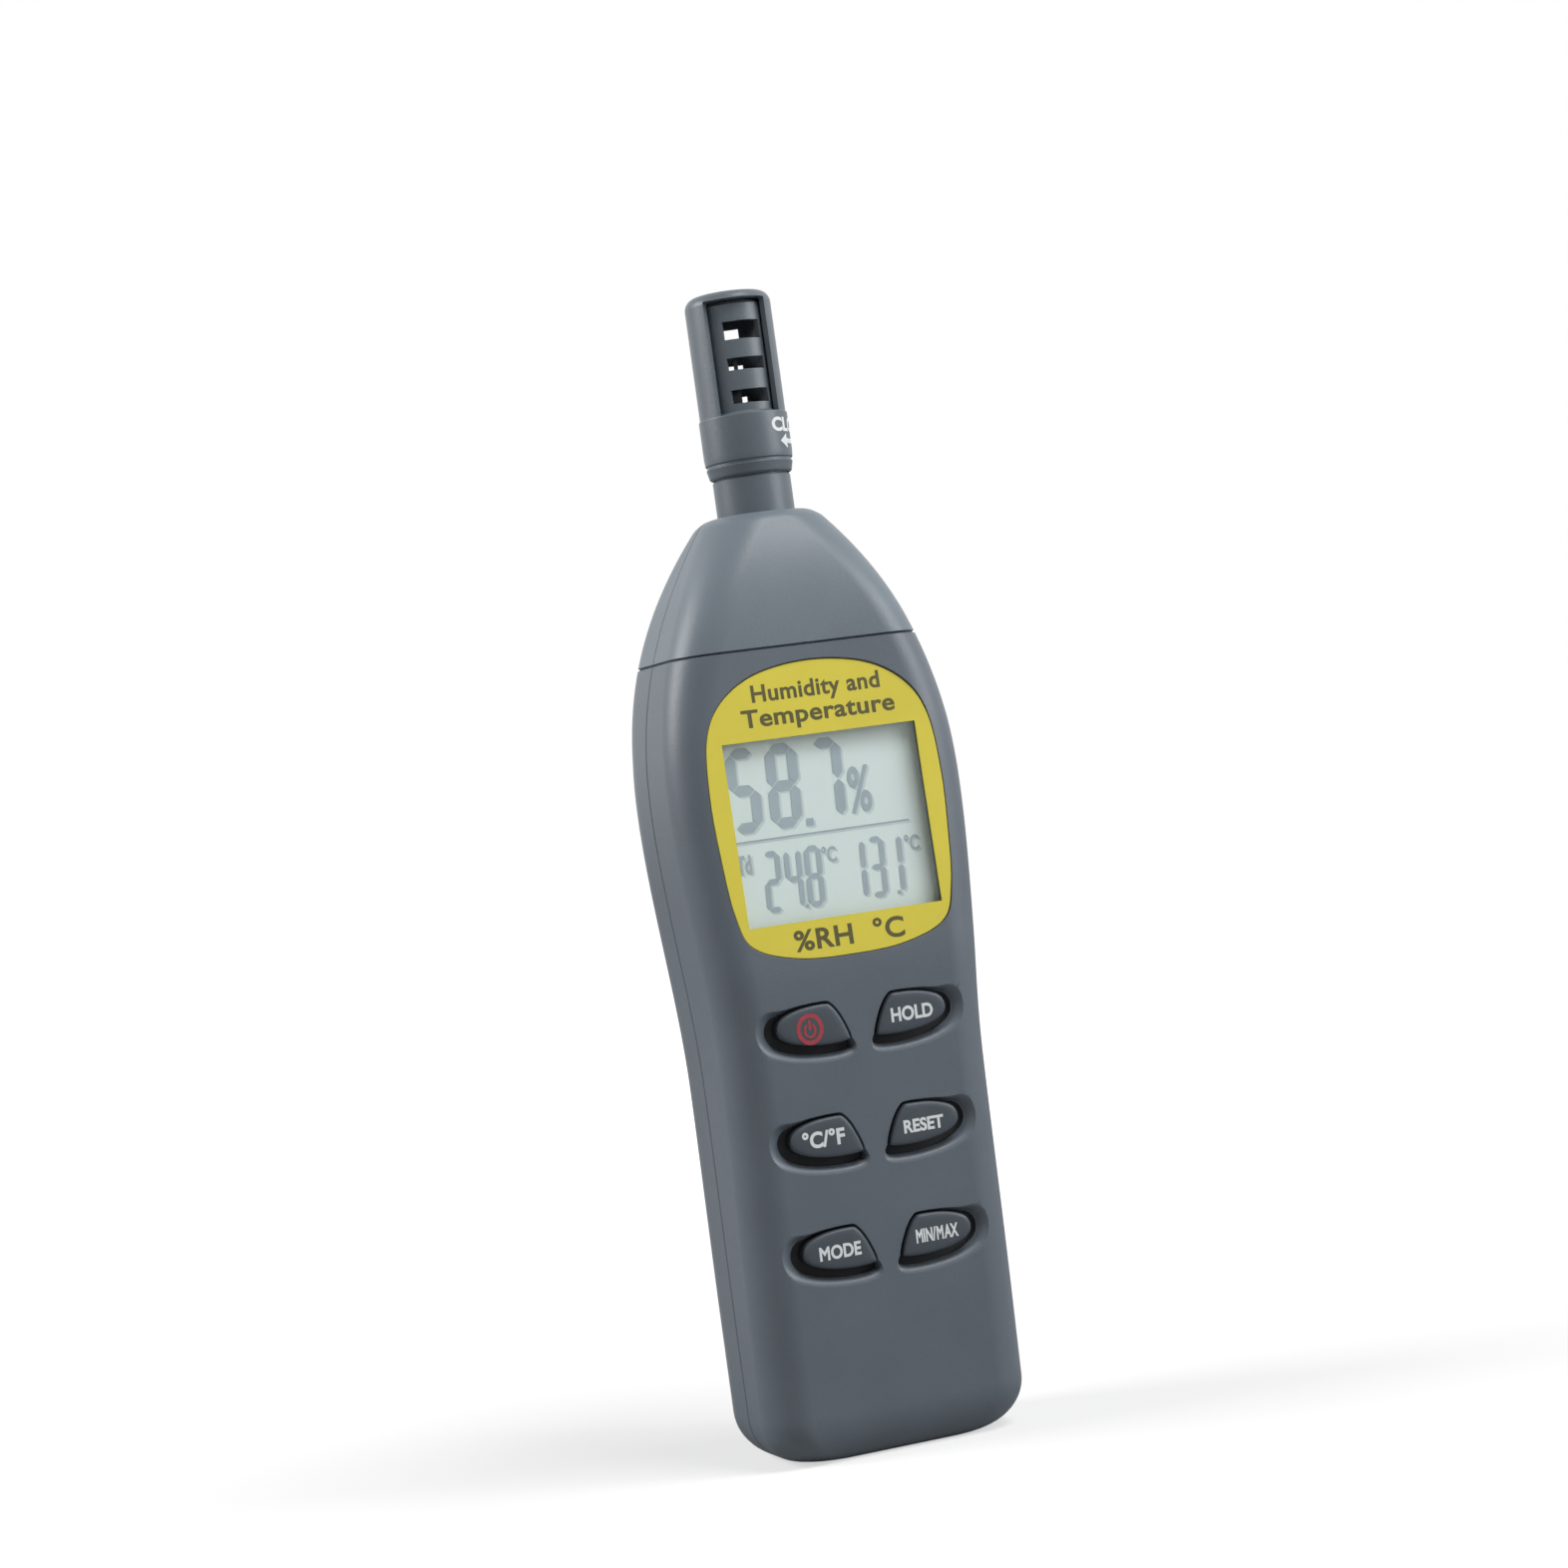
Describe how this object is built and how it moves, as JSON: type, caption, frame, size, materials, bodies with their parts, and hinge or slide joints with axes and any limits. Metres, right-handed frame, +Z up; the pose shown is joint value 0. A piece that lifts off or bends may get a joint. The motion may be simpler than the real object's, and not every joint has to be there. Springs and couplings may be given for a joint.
{
  "type": "dew point meter",
  "caption": "Hand-held digital dew point meter with a slotted sensor head under a twist shutter, a display in a yellow frame, push keys and a battery door.",
  "frame": {"origin": "middle of the flat bottom, on the plane where the case halves meet", "axes": "+X to the right seen from the front, +Y from the front to the back, +Z up from the bottom to the sensor head"},
  "size_m": [0.0448, 0.0313, 0.17],
  "materials": {
    "case_plastic": "satin",
    "nose_plastic": "satin",
    "head_plastic": "satin",
    "key_plastic": "satin",
    "label_film": "satin",
    "lens_plastic": "polished",
    "lcd_glass": "satin",
    "holder_plastic": "matt",
    "strip_rubber": "matt",
    "mat_rubber": "matt",
    "circuit_board": "satin",
    "chip_plastic": "matt",
    "humidity_film": "satin",
    "bead_glass": "glazed",
    "wire_plastic": "satin",
    "cell_metal": "satin",
    "contact_metal": "plated",
    "screw_metal": "plated"
  },
  "bodies": {
    "case": {"front_shell": "case_plastic", "rear_shell": "case_plastic", "nose_front": "nose_plastic", "nose_rear": "nose_plastic", "sensor_sleeve": "head_plastic", "sensor_board": "circuit_board", "humidity_sensor": "humidity_film", "thermistor": "bead_glass", "display_label": "label_film", "display_lens": "lens_plastic", "lcd_panel": "lcd_glass", "lcd_holder": "holder_plastic", "zebra_strips": "strip_rubber", "main_board": "circuit_board", "main_chip": "chip_plastic", "keypad_mat": "mat_rubber", "cell_1": "cell_metal", "cell_2": "cell_metal", "cell_3": "cell_metal", "cell_4": "cell_metal", "battery_springs": "contact_metal", "contact_plates": "contact_metal", "case_screws": "screw_metal", "sensor_wires": "wire_plastic"},
    "shutter": {"shutter": "head_plastic"},
    "battery_door": {"battery_door": "case_plastic"},
    "key_power": {"key_power": "key_plastic"},
    "key_units": {"key_units": "key_plastic"},
    "key_mode": {"key_mode": "key_plastic"},
    "key_hold": {"key_hold": "key_plastic"},
    "key_reset": {"key_reset": "key_plastic"},
    "key_min_max": {"key_min_max": "key_plastic"}
  },
  "joints": [
    {"name": "shutter_twist", "type": "hinge", "parent": "case", "child": "shutter", "pos_m": [0, 0, 0.143], "axis": [0, 0, -1], "range_deg": [-8, 82]},
    {"name": "battery_door_tilt", "type": "hinge", "parent": "case", "child": "battery_door", "pos_m": [0, 0.0147, 0.1026], "axis": [1, 0, 0], "range_deg": [0, 45]},
    {"name": "key_power_press", "type": "slide", "parent": "case", "child": "key_power", "axis": [0, 1, 0], "range_m": [0, 0.0008], "stiffness_N_per_m": 300},
    {"name": "key_units_press", "type": "slide", "parent": "case", "child": "key_units", "axis": [0, 1, 0], "range_m": [0, 0.0008], "stiffness_N_per_m": 300},
    {"name": "key_mode_press", "type": "slide", "parent": "case", "child": "key_mode", "axis": [0, 1, 0], "range_m": [0, 0.0008], "stiffness_N_per_m": 300},
    {"name": "key_hold_press", "type": "slide", "parent": "case", "child": "key_hold", "axis": [0, 1, 0], "range_m": [0, 0.0008], "stiffness_N_per_m": 300},
    {"name": "key_reset_press", "type": "slide", "parent": "case", "child": "key_reset", "axis": [0, 1, 0], "range_m": [0, 0.0008], "stiffness_N_per_m": 300},
    {"name": "key_min_max_press", "type": "slide", "parent": "case", "child": "key_min_max", "axis": [0, 1, 0], "range_m": [0, 0.0008], "stiffness_N_per_m": 300}
  ]
}
